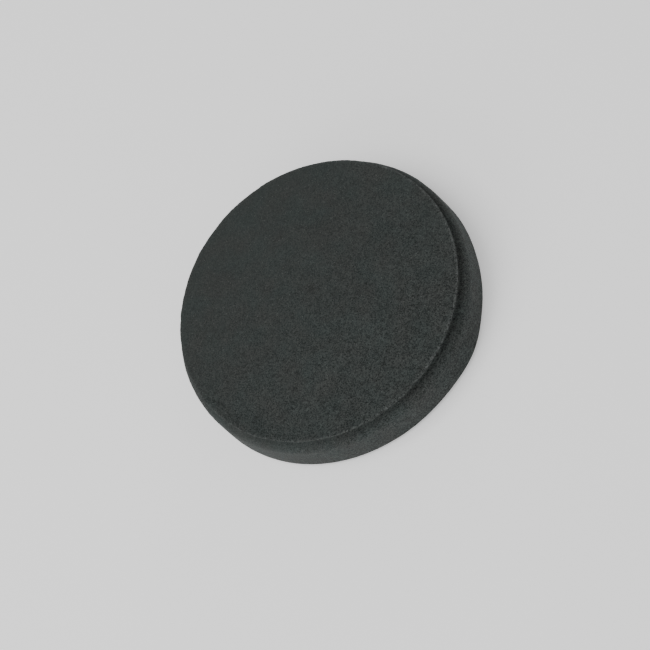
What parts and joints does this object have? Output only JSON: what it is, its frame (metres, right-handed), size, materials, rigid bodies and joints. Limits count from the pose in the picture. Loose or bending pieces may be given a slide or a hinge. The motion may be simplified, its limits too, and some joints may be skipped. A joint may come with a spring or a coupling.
{
  "type": "polishing pad",
  "caption": "Round black foam polishing pad with a flat working face, a grooved rim, straight sides and a hook-and-loop back.",
  "frame": {"origin": "centre of the loop face, which is the underside of the pad as it lies", "axes": "+Z along the pad's axis, from the loop face to the working face; the pad is round, so X and Y are free"},
  "size_m": [0.15, 0.15, 0.0254],
  "materials": {
    "foam": "matte",
    "adhesive": "satin",
    "loop_ground": "matte",
    "loop_pile": "matte"
  },
  "bodies": {
    "root": {"foam_disc": "foam", "adhesive_film": "adhesive", "loop_ground": "loop_ground", "loop_pile": "loop_pile"}
  },
  "joints": []
}
